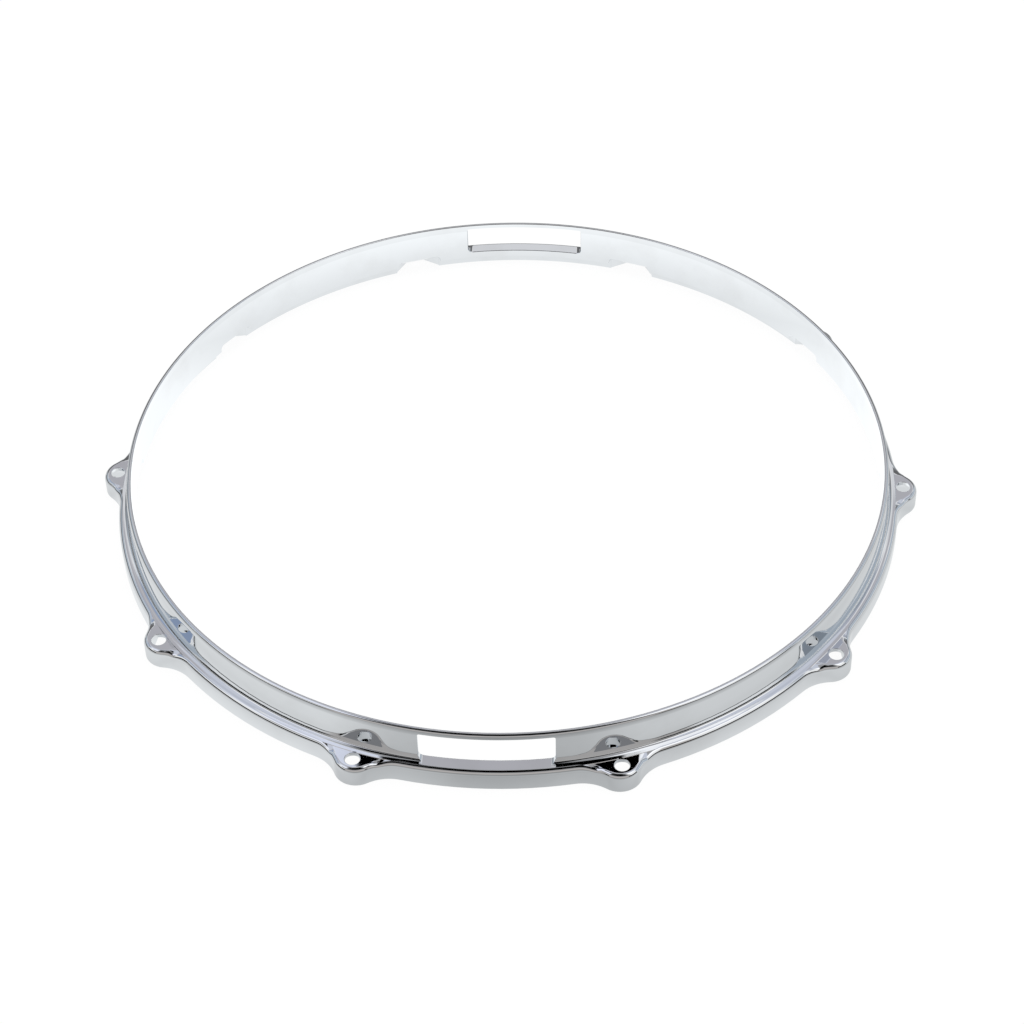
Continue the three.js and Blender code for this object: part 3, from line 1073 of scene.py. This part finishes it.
@dataclass(frozen=True)
class SurfaceNormals:
    """Exact normals for the plated surface, so that long reflections run clean.

    A cosine below `gentle` parts two faces, and a rule's normal is used only where its
    cosine with the face is over `agreement`.
    """

    casting: HoopCasting
    gentle: float = 0.6
    agreement: float = 0.7

    def apply(self, mesh: bpy.types.Mesh) -> None:
        """Gives every face corner the normal of the surface that it lies on.

        Args:
            mesh: the joined casting, whose faces carry their kind of surface.
        """
        def read(items: Sequence, key: str, width: int, kind: type) -> np.ndarray:
            """Reads one property of every item.

            Args:
                items: the items.
                key: name of the property.
                width: how many numbers it holds.
                kind: type of the numbers.

            Returns:
                The values, in rows where an item has several.
            """
            values = np.zeros(len(items) * width, dtype=kind)
            items.foreach_get(key, values)
            return values.reshape(-1, width) if width > 1 else values

        mesh.shade_smooth()
        kinds = read(mesh.attributes[SURFACE].data, "value", 1, np.int32)
        sizes = read(mesh.polygons, "loop_total", 1, np.int32)
        flat = read(mesh.polygons, "normal", 3, float)
        area = read(mesh.polygons, "area", 1, float)
        loop_vert = read(mesh.loops, "vertex_index", 1, np.int32)
        place = read(mesh.vertices, "co", 3, float)[loop_vert] / MM
        face_of = np.repeat(np.arange(len(sizes)), sizes)
        azimuth = np.arctan2(place[:, 0], -place[:, 1]) % (2 * math.pi)
        pitch = 2 * math.pi / self.casting.outline.ear_count
        middle = (np.floor(azimuth / pitch) + 0.5) * pitch
        radius = np.hypot(place[:, 0], place[:, 1])
        along, out = radius * np.sin(azimuth - middle), radius * np.cos(azimuth - middle)
        normals = self._averaged(flat, area, face_of, loop_vert, kinds)
        for kind, rule in self._rules().items():
            chosen = kinds[face_of] == int(kind)
            if chosen.any():
                n_along, n_out, n_up = rule(along[chosen], out[chosen], place[chosen, 2])
                sin_m, cos_m = np.sin(middle[chosen]), np.cos(middle[chosen])
                # Ear frame to ring frame: along is the tangent, out the radius.
                exact = np.stack([n_along * cos_m + n_out * sin_m,
                                  n_along * sin_m - n_out * cos_m, n_up], axis=1)
                exact /= np.linalg.norm(exact, axis=1, keepdims=True)
                agrees = (exact * flat[face_of[chosen]]).sum(axis=1) > self.agreement
                normals[np.flatnonzero(chosen)[agrees]] = exact[agrees]
        mesh.normals_split_custom_set(normals.tolist())
        log.info("%d faces, %d corners with exact normals", len(sizes), len(loop_vert))

    def _averaged(
        self, flat: np.ndarray, area: np.ndarray, face_of: np.ndarray,
        loop_vert: np.ndarray, kinds: np.ndarray,
    ) -> np.ndarray:
        """Normals averaged by area over the faces of one kind that meet gently.

        Args:
            flat: normal of each face.
            area: area of each face.
            face_of: face number of each corner.
            loop_vert: vertex number of each corner.
            kinds: kind of surface of each face.

        Returns:
            One normal a corner.
        """
        order = np.argsort(loop_vert, kind="stable")
        starts = np.searchsorted(loop_vert[order], np.arange(loop_vert.max() + 2))
        normals = flat[face_of].copy()
        free = (Surface.POCKET, Surface.GATE, Surface.PAD_STEP, Surface.PAD, Surface.EDGE)
        for corner in np.flatnonzero(np.isin(kinds[face_of], [int(kind) for kind in free])):
            vert, mine = loop_vert[corner], face_of[corner]
            near = face_of[order[starts[vert]:starts[vert + 1]]]
            same = near[(kinds[near] == kinds[mine]) & (flat[near] @ flat[mine] > self.gentle)]
            total = (flat[same] * area[same, None]).sum(axis=0)
            length = np.linalg.norm(total)
            if length > 0:
                normals[corner] = total / length
        return normals

    def _rules(self) -> dict[Surface, Rule]:
        """Gathers the shapes that the faces follow, in the ear's own frame.

        Returns:
            The rule for the normal of each kind of surface.
        """
        s, ear, outline = self.casting.section, self.casting.ear, self.casting.outline

        def leaning(n_r: float, n_z: float) -> Rule:
            """A plane, cone or cylinder round the ring.

            Args:
                n_r: outward part of its normal.
                n_z: upward part.

            Returns:
                Its rule.
            """
            def rule(a: np.ndarray, o: np.ndarray, z: np.ndarray) -> tuple:
                """Normal of the cone."""
                r = np.hypot(a, o)
                return a / r * n_r, o / r * n_r, 0 * a + n_z
            return rule

        def rounded(centre: Place, turn: Turn = Turn.CONVEX) -> Rule:
            """An arc of the section, carried round the ring.

            Args:
                centre: radius and height of its middle, mm.
                turn: side of the arc that the metal lies on.

            Returns:
                Its rule.
            """
            def rule(a: np.ndarray, o: np.ndarray, z: np.ndarray) -> tuple:
                """Normal of the arc.

                Args:
                    a: places along the ring, mm.
                    o: places outwards, mm.
                    z: heights, mm.

                Returns:
                    The normal's three parts.
                """
                r = np.hypot(a, o)
                d_r, d_z = (r - centre[0]) * turn.value, (z - centre[1]) * turn.value
                return a / r * d_r, o / r * d_r, d_z
            return rule

        def along_outline(low: float, size: float) -> Rule:
            """The skirt along the plan outline, with a rounded lower edge.

            Args:
                low: height at which the rounding ends, mm.
                size: its height, mm.

            Returns:
                Its rule.
            """
            def rule(a: np.ndarray, o: np.ndarray, z: np.ndarray) -> tuple:
                """Normal across the outline, tipped over the rounded edge.

                Args:
                    a: places along the ring, mm.
                    o: places outwards, mm.
                    z: heights, mm.

                Returns:
                    The normal's three parts.
                """
                t = outline.bearing_at(a, o)
                tip = np.clip((z - low) / size, -1, 0)
                flat = np.sqrt(1 - tip**2)
                return np.sin(t) * flat, np.cos(t) * flat, tip
            return rule

        def round_rod(low: float, size: float) -> Rule:
            """A wall round the rod, with a rounded upper edge.

            Args:
                low: height at which the rounding starts, mm.
                size: its height, mm.

            Returns:
                Its rule.
            """
            def rule(a: np.ndarray, o: np.ndarray, z: np.ndarray) -> tuple:
                """Normal towards the rod, tipped over the rounded edge.

                Args:
                    a: places along the ring, mm.
                    o: places outwards, mm.
                    z: heights, mm.

                Returns:
                    The normal's three parts.
                """
                d_a, d_o = -a, ear.rod_circle - o
                away = np.hypot(d_a, d_o)
                tip = np.clip((z - low) / size, 0, 1)
                flat = np.sqrt(1 - tip**2)
                return d_a / away * flat, d_o / away * flat, tip
            return rule

        lip_run = s.rim_lip_depth - s.rim_edge
        lip_len = math.hypot(lip_run, s.rim_lip)
        lip = s.base_edge
        return {
            Surface.WALL_INNER: leaning(-1, 0),
            Surface.RIM_LIP: leaning(-lip_run / lip_len, -s.rim_lip / lip_len),
            Surface.RIM_INNER: rounded((s.bore + s.rim_edge, s.height - s.rim_edge)),
            Surface.RIM_TOP: leaning(0, 1),
            Surface.RIM_OUTER: rounded(s.round_centre),
            Surface.RIM_ROLL: rounded(s.roll_centre),
            Surface.WALL_OUTER: leaning(math.cos(s.wall_lean), math.sin(s.wall_lean)),
            Surface.ROOT_FILLET: rounded(s.fillet_centre, Turn.CONCAVE),
            Surface.FLANGE: rounded(s.flange_centre, Turn.CONCAVE),
            Surface.FLANGE_CONE: leaning(math.sin(s.flange_tilt), math.cos(s.flange_tilt)),
            Surface.SKIRT: along_outline(-math.inf, 1.0),
            Surface.BASE_OUTER: along_outline(lip, lip),
            Surface.BASE: leaning(0, -1),
            Surface.BASE_INNER: rounded((s.skirt_inner + lip, lip)),
            Surface.SKIRT_INNER: leaning(-1, 0),
            Surface.SEAT_FILLET: rounded(
                (s.skirt_inner - s.seat_fillet, s.seat_height - s.seat_fillet), Turn.CONCAVE),
            Surface.SEAT: leaning(0, -1),
            Surface.SEAT_LIP: rounded((s.inner + lip, s.seat_height + lip)),
            Surface.ROD_HOLE: round_rod(s.pad_height - ear.hole_edge, ear.hole_edge),
            Surface.SPOT_FACE: round_rod(math.inf, 1.0),
        }


# Studio.


class CardTone(Enum):
    """Colours of the studio's cards and flags, as linear light."""

    BLACK = (0.0, 0.0, 0.0)
    CHARCOAL = (0.07, 0.07, 0.075)
    DARK = (0.15, 0.15, 0.155)
    HORIZON = (0.29, 0.285, 0.28)
    SMOKE = (0.26, 0.26, 0.27)
    SLATE = (0.32, 0.40, 0.56)
    TAN = (0.52, 0.495, 0.48)
    CEILING = (0.36, 0.36, 0.37)
    GREY = (0.49, 0.485, 0.52)
    STEEL = (0.29, 0.33, 0.38)
    DUSK = (0.46, 0.48, 0.56)
    LAVENDER = (0.65, 0.68, 0.77)
    HAZE = (0.77, 0.775, 0.80)
    MIST = (0.48, 0.54, 0.61)
    PALE = (0.95, 0.98, 1.12)
    WHITE = (1.3, 1.3, 1.33)


@dataclass(frozen=True)
class StudioCard:
    """A curved card or flag that stands round the hoop and shows only in its chrome.

    Azimuths count from the camera's side, counter-clockwise seen from above, and
    elevations from the floor, in degrees. The lower edge may fall from left to right,
    and either side may flare outwards towards the top.
    """

    name: str
    tone: CardTone
    azimuth: Place
    elevation: Place
    distance: float
    feather: Place
    fall: float = 0.0
    flare: Place = (0.0, 0.0)
    least_feather: float = 0.001
    centre_height: float = 0.015
    grid: tuple[int, int] = (24, 12)

    def _material(self) -> bpy.types.Material:
        """Builds the card's plain light, fading out towards its edges.

        Returns:
            The material.
        """
        material = bpy.data.materials.new(f"card_{self.name}")
        sheet = NodeSheet.of(material)
        uv = sheet.add("ShaderNodeUVMap", uv_map="card").outputs["UV"]
        split = sheet.add("ShaderNodeSeparateXYZ", {"Vector": uv}).outputs
        masks = []
        for axis, fade in zip(("X", "Y"), self.feather):
            nearest = sheet.maths("MINIMUM", split[axis],
                                  sheet.maths("SUBTRACT", 1.0, split[axis]))
            ramp = sheet.add("ShaderNodeMapRange", {
                "From Max": max(fade, self.least_feather), "Value": nearest},
                interpolation_type="SMOOTHSTEP")
            masks.append(ramp.outputs["Result"])
        clear = sheet.add("ShaderNodeBsdfTransparent").outputs[0]
        light = sheet.emission(Color=(*self.tone.value, 1.0))
        sheet.add("ShaderNodeOutputMaterial", {
            "Surface": sheet.mix(sheet.maths("MULTIPLY", *masks), clear, light)})
        material.cycles.emission_sampling = "NONE"
        return material

    def build(self, facing: float) -> bpy.types.Object:
        """Builds the card and marks it as part of the stage.

        Args:
            facing: azimuth of the camera in the hoop's frame, degrees.

        Returns:
            The card.
        """
        across, up = self.grid
        points, faces, uvs = [], [], []
        for j in range(up + 1):
            for i in range(across + 1):
                u, v = i / across, j / up
                left, right = (a * (1 + f * v**3) for a, f in zip(self.azimuth, self.flare))
                a = math.radians(facing + left + (right - left) * u)
                e = math.radians(self.elevation[0] + (self.elevation[1] - self.elevation[0]) * v
                                 - self.fall * (u - 0.5) * (1 - v))
                flat = self.distance * math.cos(e)
                points.append((flat * math.sin(a), -flat * math.cos(a),
                               self.distance * math.sin(e) + self.centre_height))
                uvs.append((u, v))
        for j in range(up):
            for i in range(across):
                a = j * (across + 1) + i
                faces.append((a, a + 1, a + across + 2, a + across + 1))
        mesh = bpy.data.meshes.new(f"card_{self.name}")
        mesh.from_pydata(points, [], faces)
        layer = mesh.uv_layers.new(name="card")
        for loop in mesh.loops:
            layer.data[loop.index].uv = uvs[loop.vertex_index]
        mesh.materials.append(self._material())
        card = new_object(f"card_{self.name}", mesh)
        card.visible_camera = False
        card.visible_diffuse = False
        card.visible_shadow = False
        return card


@dataclass(frozen=True)
class StudioFloor:
    """A pale floor that keeps the hoop's shadow and shows white round it.

    The chrome mirrors it with painted light and shade, in tones that follow the distance
    from the middle of the ring, in metres, and the bearing from the camera's side, in
    degrees: a painted shadow ring round the skirt's foot, painted shade that deepens further
    out and in front of the hoop, and inside the ring painted light, all the way out to the
    wall at the left and right.
    """

    half_size: float = 3.2
    height: float = -0.00005
    paper: tuple[float, float, float, float] = (0.92, 0.92, 0.92, 1.0)
    tint: tuple[float, float, float, float] = (0.97, 0.99, 1.0, 1.0)
    white_share: float = 0.86
    glow: float = 1.07
    # painted light: the mirrored floor lighter inside the ring, out to the wall at the left and
    # right
    painted_light_inside: float = 1.2
    painted_light_inside_fade: Place = (0.140, 0.180)
    painted_light_inner_reach: Tones = ((0.182, 1.0), (0.187, 0.0))
    painted_light_side_reach: Tones = ((66, 0.0), (84, 1.0), (112, 1.0), (140, 0.0))
    # painted shadow ring of the hoop round its foot, then painted shade deepening further out
    painted_shade_by_distance: Tones = (
        (0.188, 0.92), (0.1935, 0.84), (0.197, 0.79), (0.201, 0.83), (0.206, 0.84), (0.211, 0.84),
        (0.225, 0.70), (0.245, 0.60), (0.30, 0.50), (0.60, 0.42),
    )
    # painted shade, darkest on the floor in front of the hoop on the camera's side
    painted_shade_by_bearing: Tones = (
        (-140, 1.04), (-100, 0.98), (-60, 0.98), (-32, 0.98), (-16, 0.70), (-3, 0.56), (8, 0.64),
        (22, 0.83), (32, 0.88), (60, 0.88), (100, 0.92), (140, 1.04),
    )

    def _mirrored_painted_light_and_shade(self, sheet: NodeSheet, facing: float) -> bpy.types.NodeSocket:
        """The floor as the chrome mirrors it, with painted light and shade.

        Args:
            sheet: where its nodes are written.
            facing: azimuth of the camera in the hoop's frame, degrees.

        Returns:
            Its light.
        """
        place = sheet.add("ShaderNodeTexCoord").outputs["Object"]
        split = sheet.add("ShaderNodeSeparateXYZ", {0: place}).outputs
        sin_f, cos_f = math.sin(math.radians(facing)), math.cos(math.radians(facing))

        def weighed(operation: str, by_x: object, by_y: object) -> bpy.types.NodeSocket:
            """The sum or difference of x and y, each times a number or a socket."""
            return sheet.maths(operation, sheet.maths("MULTIPLY", split["X"], by_x),
                               sheet.maths("MULTIPLY", split["Y"], by_y))

        turn = sheet.maths("ARCTAN2", weighed("ADD", cos_f, sin_f),
                           weighed("SUBTRACT", sin_f, cos_f))
        bearing = sheet.maths("MULTIPLY", turn, 180 / math.pi)
        away = sheet.maths("SQRT", weighed("ADD", split["X"], split["Y"]))
        # painted shade of the mirrored floor, by bearing and by distance
        front = sheet.maths("MULTIPLY", sheet.tones(bearing, self.painted_shade_by_bearing),
                            sheet.tones(away, self.painted_shade_by_distance))
        # painted light inside the ring, laid over the painted shade
        inside = sheet.add("ShaderNodeMapRange", {
            "From Min": self.painted_light_inside_fade[0], "From Max": self.painted_light_inside_fade[1],
            "To Min": 1.0, "To Max": 0.0, "Value": away}, interpolation_type="SMOOTHSTEP")
        beside = sheet.maths(
            "MULTIPLY", sheet.tones(sheet.maths("ABSOLUTE", bearing), self.painted_light_side_reach),
            sheet.tones(away, self.painted_light_inner_reach))
        level = sheet.add("ShaderNodeMix", {
            "Factor": sheet.maths("MAXIMUM", inside.outputs["Result"], beside),
            "A": front, "B": self.painted_light_inside}, data_type="FLOAT")
        return sheet.emission(Strength=level.outputs["Result"], Color=self.tint)

    def build(self, facing: float) -> bpy.types.Object:
        """Lays the floor under the hoop and marks it as part of the stage.

        Args:
            facing: azimuth of the camera in the hoop's frame, degrees.

        Returns:
            The floor.
        """
        material = bpy.data.materials.new("studio_floor")
        sheet = NodeSheet.of(material)
        matt = sheet.add("ShaderNodeBsdfDiffuse", {"Color": self.paper}).outputs[0]
        seen = sheet.mix(self.white_share, matt, sheet.emission(Strength=self.glow))
        by_camera = sheet.add("ShaderNodeLightPath").outputs["Is Camera Ray"]
        # The chrome sees the floor with painted light and shade; the camera sees it white with its
        # real shadow.
        bright = sheet.mix(by_camera, self._mirrored_painted_light_and_shade(sheet, facing), seen)
        sheet.add("ShaderNodeOutputMaterial", {
            "Surface": sheet.mix(sheet.seen_or_mirrored(), matt, bright)})
        material.cycles.emission_sampling = "NONE"
        h = self.half_size
        mesh = bpy.data.meshes.new("studio_floor")
        corners = ((-h, -h), (h, -h), (h, h), (-h, h))
        mesh.from_pydata([(x, y, self.height) for x, y in corners], [], [(0, 1, 2, 3)])
        mesh.materials.append(material)
        floor = new_object("studio_floor", mesh)
        return floor


@dataclass(frozen=True)
class Studio:
    """Floor, soft light and the cards and flags that the chrome mirrors."""

    facing: float
    floor: StudioFloor = field(default_factory=StudioFloor)
    room_light: float = 0.72
    softbox_size: float = 1.3
    softbox_place: tuple[float, float, float] = (0.1, -0.05, 1.7)
    softbox_light: float = 1.1
    cards: tuple[StudioCard, ...] = (
        StudioCard("horizon", CardTone.HORIZON, (-62, 60), (-4, 6), 5.0, (0.1, 0.4)),
        StudioCard("smoke", CardTone.SMOKE, (-76, 44), (30, 46), 5.9, (0.06, 0.3)),
        StudioCard("flag", CardTone.BLACK, (-54, 45), (43, 98), 6.0, (0.03, 0.05), 0.9, (1.2, 0.6)),
        StudioCard("flag_far", CardTone.BLACK, (-150, -84), (70, 98), 6.1, (0.1, 0.1)),
        StudioCard("left_strip", CardTone.BLACK, (-92, -45), (-2, 25), 6.4, (0.12, 0.3)),
        StudioCard("left_line", CardTone.CHARCOAL, (-135, -86), (-5, 13), 6.5, (0.1, 0.25)),
        StudioCard("right_strip", CardTone.BLACK, (34, 78), (-2, 21), 6.4, (0.08, 0.25)),
        StudioCard("front", CardTone.TAN, (-54, 50), (-3, 48), 6.8, (0.06, 0.06)),
        StudioCard("left_slate", CardTone.SLATE, (-140, -86), (37, 47), 7.0, (0.1, 0.15)),
        StudioCard("right_steel", CardTone.STEEL, (82, 136), (36, 47), 7.0, (0.1, 0.15)),
        StudioCard("left_pale", CardTone.PALE, (-106, -46), (47, 67), 7.05, (0.1, 0.15)),
        StudioCard("left_back", CardTone.LAVENDER, (-168, -104), (49, 74), 7.1, (0.1, 0.1)),
        StudioCard("right_back", CardTone.LAVENDER, (100, 168), (49, 74), 7.1, (0.1, 0.1)),
        StudioCard("left_pad", CardTone.GREY, (-150, -104), (40, 51), 7.15, (0.1, 0.1)),
        StudioCard("right_pad", CardTone.DUSK, (86, 145), (40, 51), 7.15, (0.1, 0.1)),
        StudioCard("right_white", CardTone.WHITE, (50, 98), (50, 78), 7.3, (0.12, 0.15)),
        StudioCard("back", CardTone.GREY, (142, 218), (38.6, 66), 7.0, (0.15, 0.08)),
        StudioCard("back_low", CardTone.DARK, (130, 230), (-3, 36.5), 7.0, (0.2, 0.1)),
        StudioCard("back_mid", CardTone.HAZE, (130, 230), (36.2, 40.8), 7.05, (0.15, 0.05)),
        StudioCard("left_far", CardTone.MIST, (-154, -88), (6, 37), 7.25, (0.12, 0.15)),
        StudioCard("right_far", CardTone.MIST, (72, 150), (4, 37), 7.25, (0.12, 0.15)),
        StudioCard("ceiling", CardTone.CEILING, (-90, 90), (64, 116), 7.6, (0.0, 0.12)),
    )

    def _world(self) -> None:
        """A white room to the eye and in the metal, a little softer on the floor."""
        world = bpy.data.worlds.new("studio")
        bpy.context.scene.world = world
        sheet = NodeSheet.of(world)
        world.cycles.sampling_method = "NONE"
        soft = sheet.add("ShaderNodeBackground", {"Strength": self.room_light}).outputs[0]
        white = sheet.add("ShaderNodeBackground", {"Color": (1.0, 1.0, 1.0, 1.0)}).outputs[0]
        sheet.add("ShaderNodeOutputWorld", {
            "Surface": sheet.mix(sheet.seen_or_mirrored(), soft, white)})

    def build(self) -> None:
        """Builds the whole studio."""
        self._world()
        self.floor.build(self.facing)
        for card in self.cards:
            card.build(self.facing)
        lamp = bpy.data.lights.new("softbox", "AREA")
        lamp.shape = "SQUARE"
        lamp.size = self.softbox_size
        lamp.energy = self.softbox_light * math.pi * self.softbox_size**2
        box = new_object("softbox", lamp)
        box.location = self.softbox_place
        box.visible_glossy = False
        log.info("studio with %d cards", len(self.cards))


@dataclass(frozen=True)
class PhotoCamera:
    """The camera as it stood for the photograph, degrees, metres and lens in mm."""

    azimuth: float = 3.909
    elevation: float = 43.374
    distance: float = 1.28405
    roll: float = -1.607
    target: tuple[float, float, float] = (0.002445, -0.011954, 0.0)
    focal_length: float = 93.27
    sensor_width: float = 36.0
    clip: Place = (0.05, 30.0)

    def build(self) -> bpy.types.Object:
        """Places the camera and makes it the scene's own.

        Returns:
            The camera.
        """
        a, e, r = (math.radians(v) for v in (self.azimuth, self.elevation, self.roll))
        back = Vector((math.sin(a) * math.cos(e), -math.cos(a) * math.cos(e), math.sin(e)))
        right = Vector((math.cos(a), math.sin(a), 0.0))
        up = back.cross(right)
        turned_right = right * math.cos(r) + up * math.sin(r)
        turned_up = -right * math.sin(r) + up * math.cos(r)
        lens = bpy.data.cameras.new("photo_camera")
        lens.sensor_fit = "HORIZONTAL"
        lens.sensor_width = self.sensor_width
        lens.lens = self.focal_length
        lens.clip_start, lens.clip_end = self.clip
        camera = new_object("photo_camera", lens)
        axes = Matrix((turned_right, turned_up, back)).transposed().to_4x4()
        place = Vector(self.target) + back * self.distance
        camera.matrix_world = Matrix.Translation(place) @ axes
        bpy.context.scene.camera = camera
        return camera


def main() -> None:
    """Builds the camera, the hoop and its studio."""
    bpy.context.scene.view_settings.view_transform = "Standard"
    view = PhotoCamera()
    view.build()
    casting = HoopCasting().build()
    log.info("%s stands for %d regions", casting.name, len(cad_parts))
    Studio(view.azimuth).build()


if __name__ == "__main__":
    main()
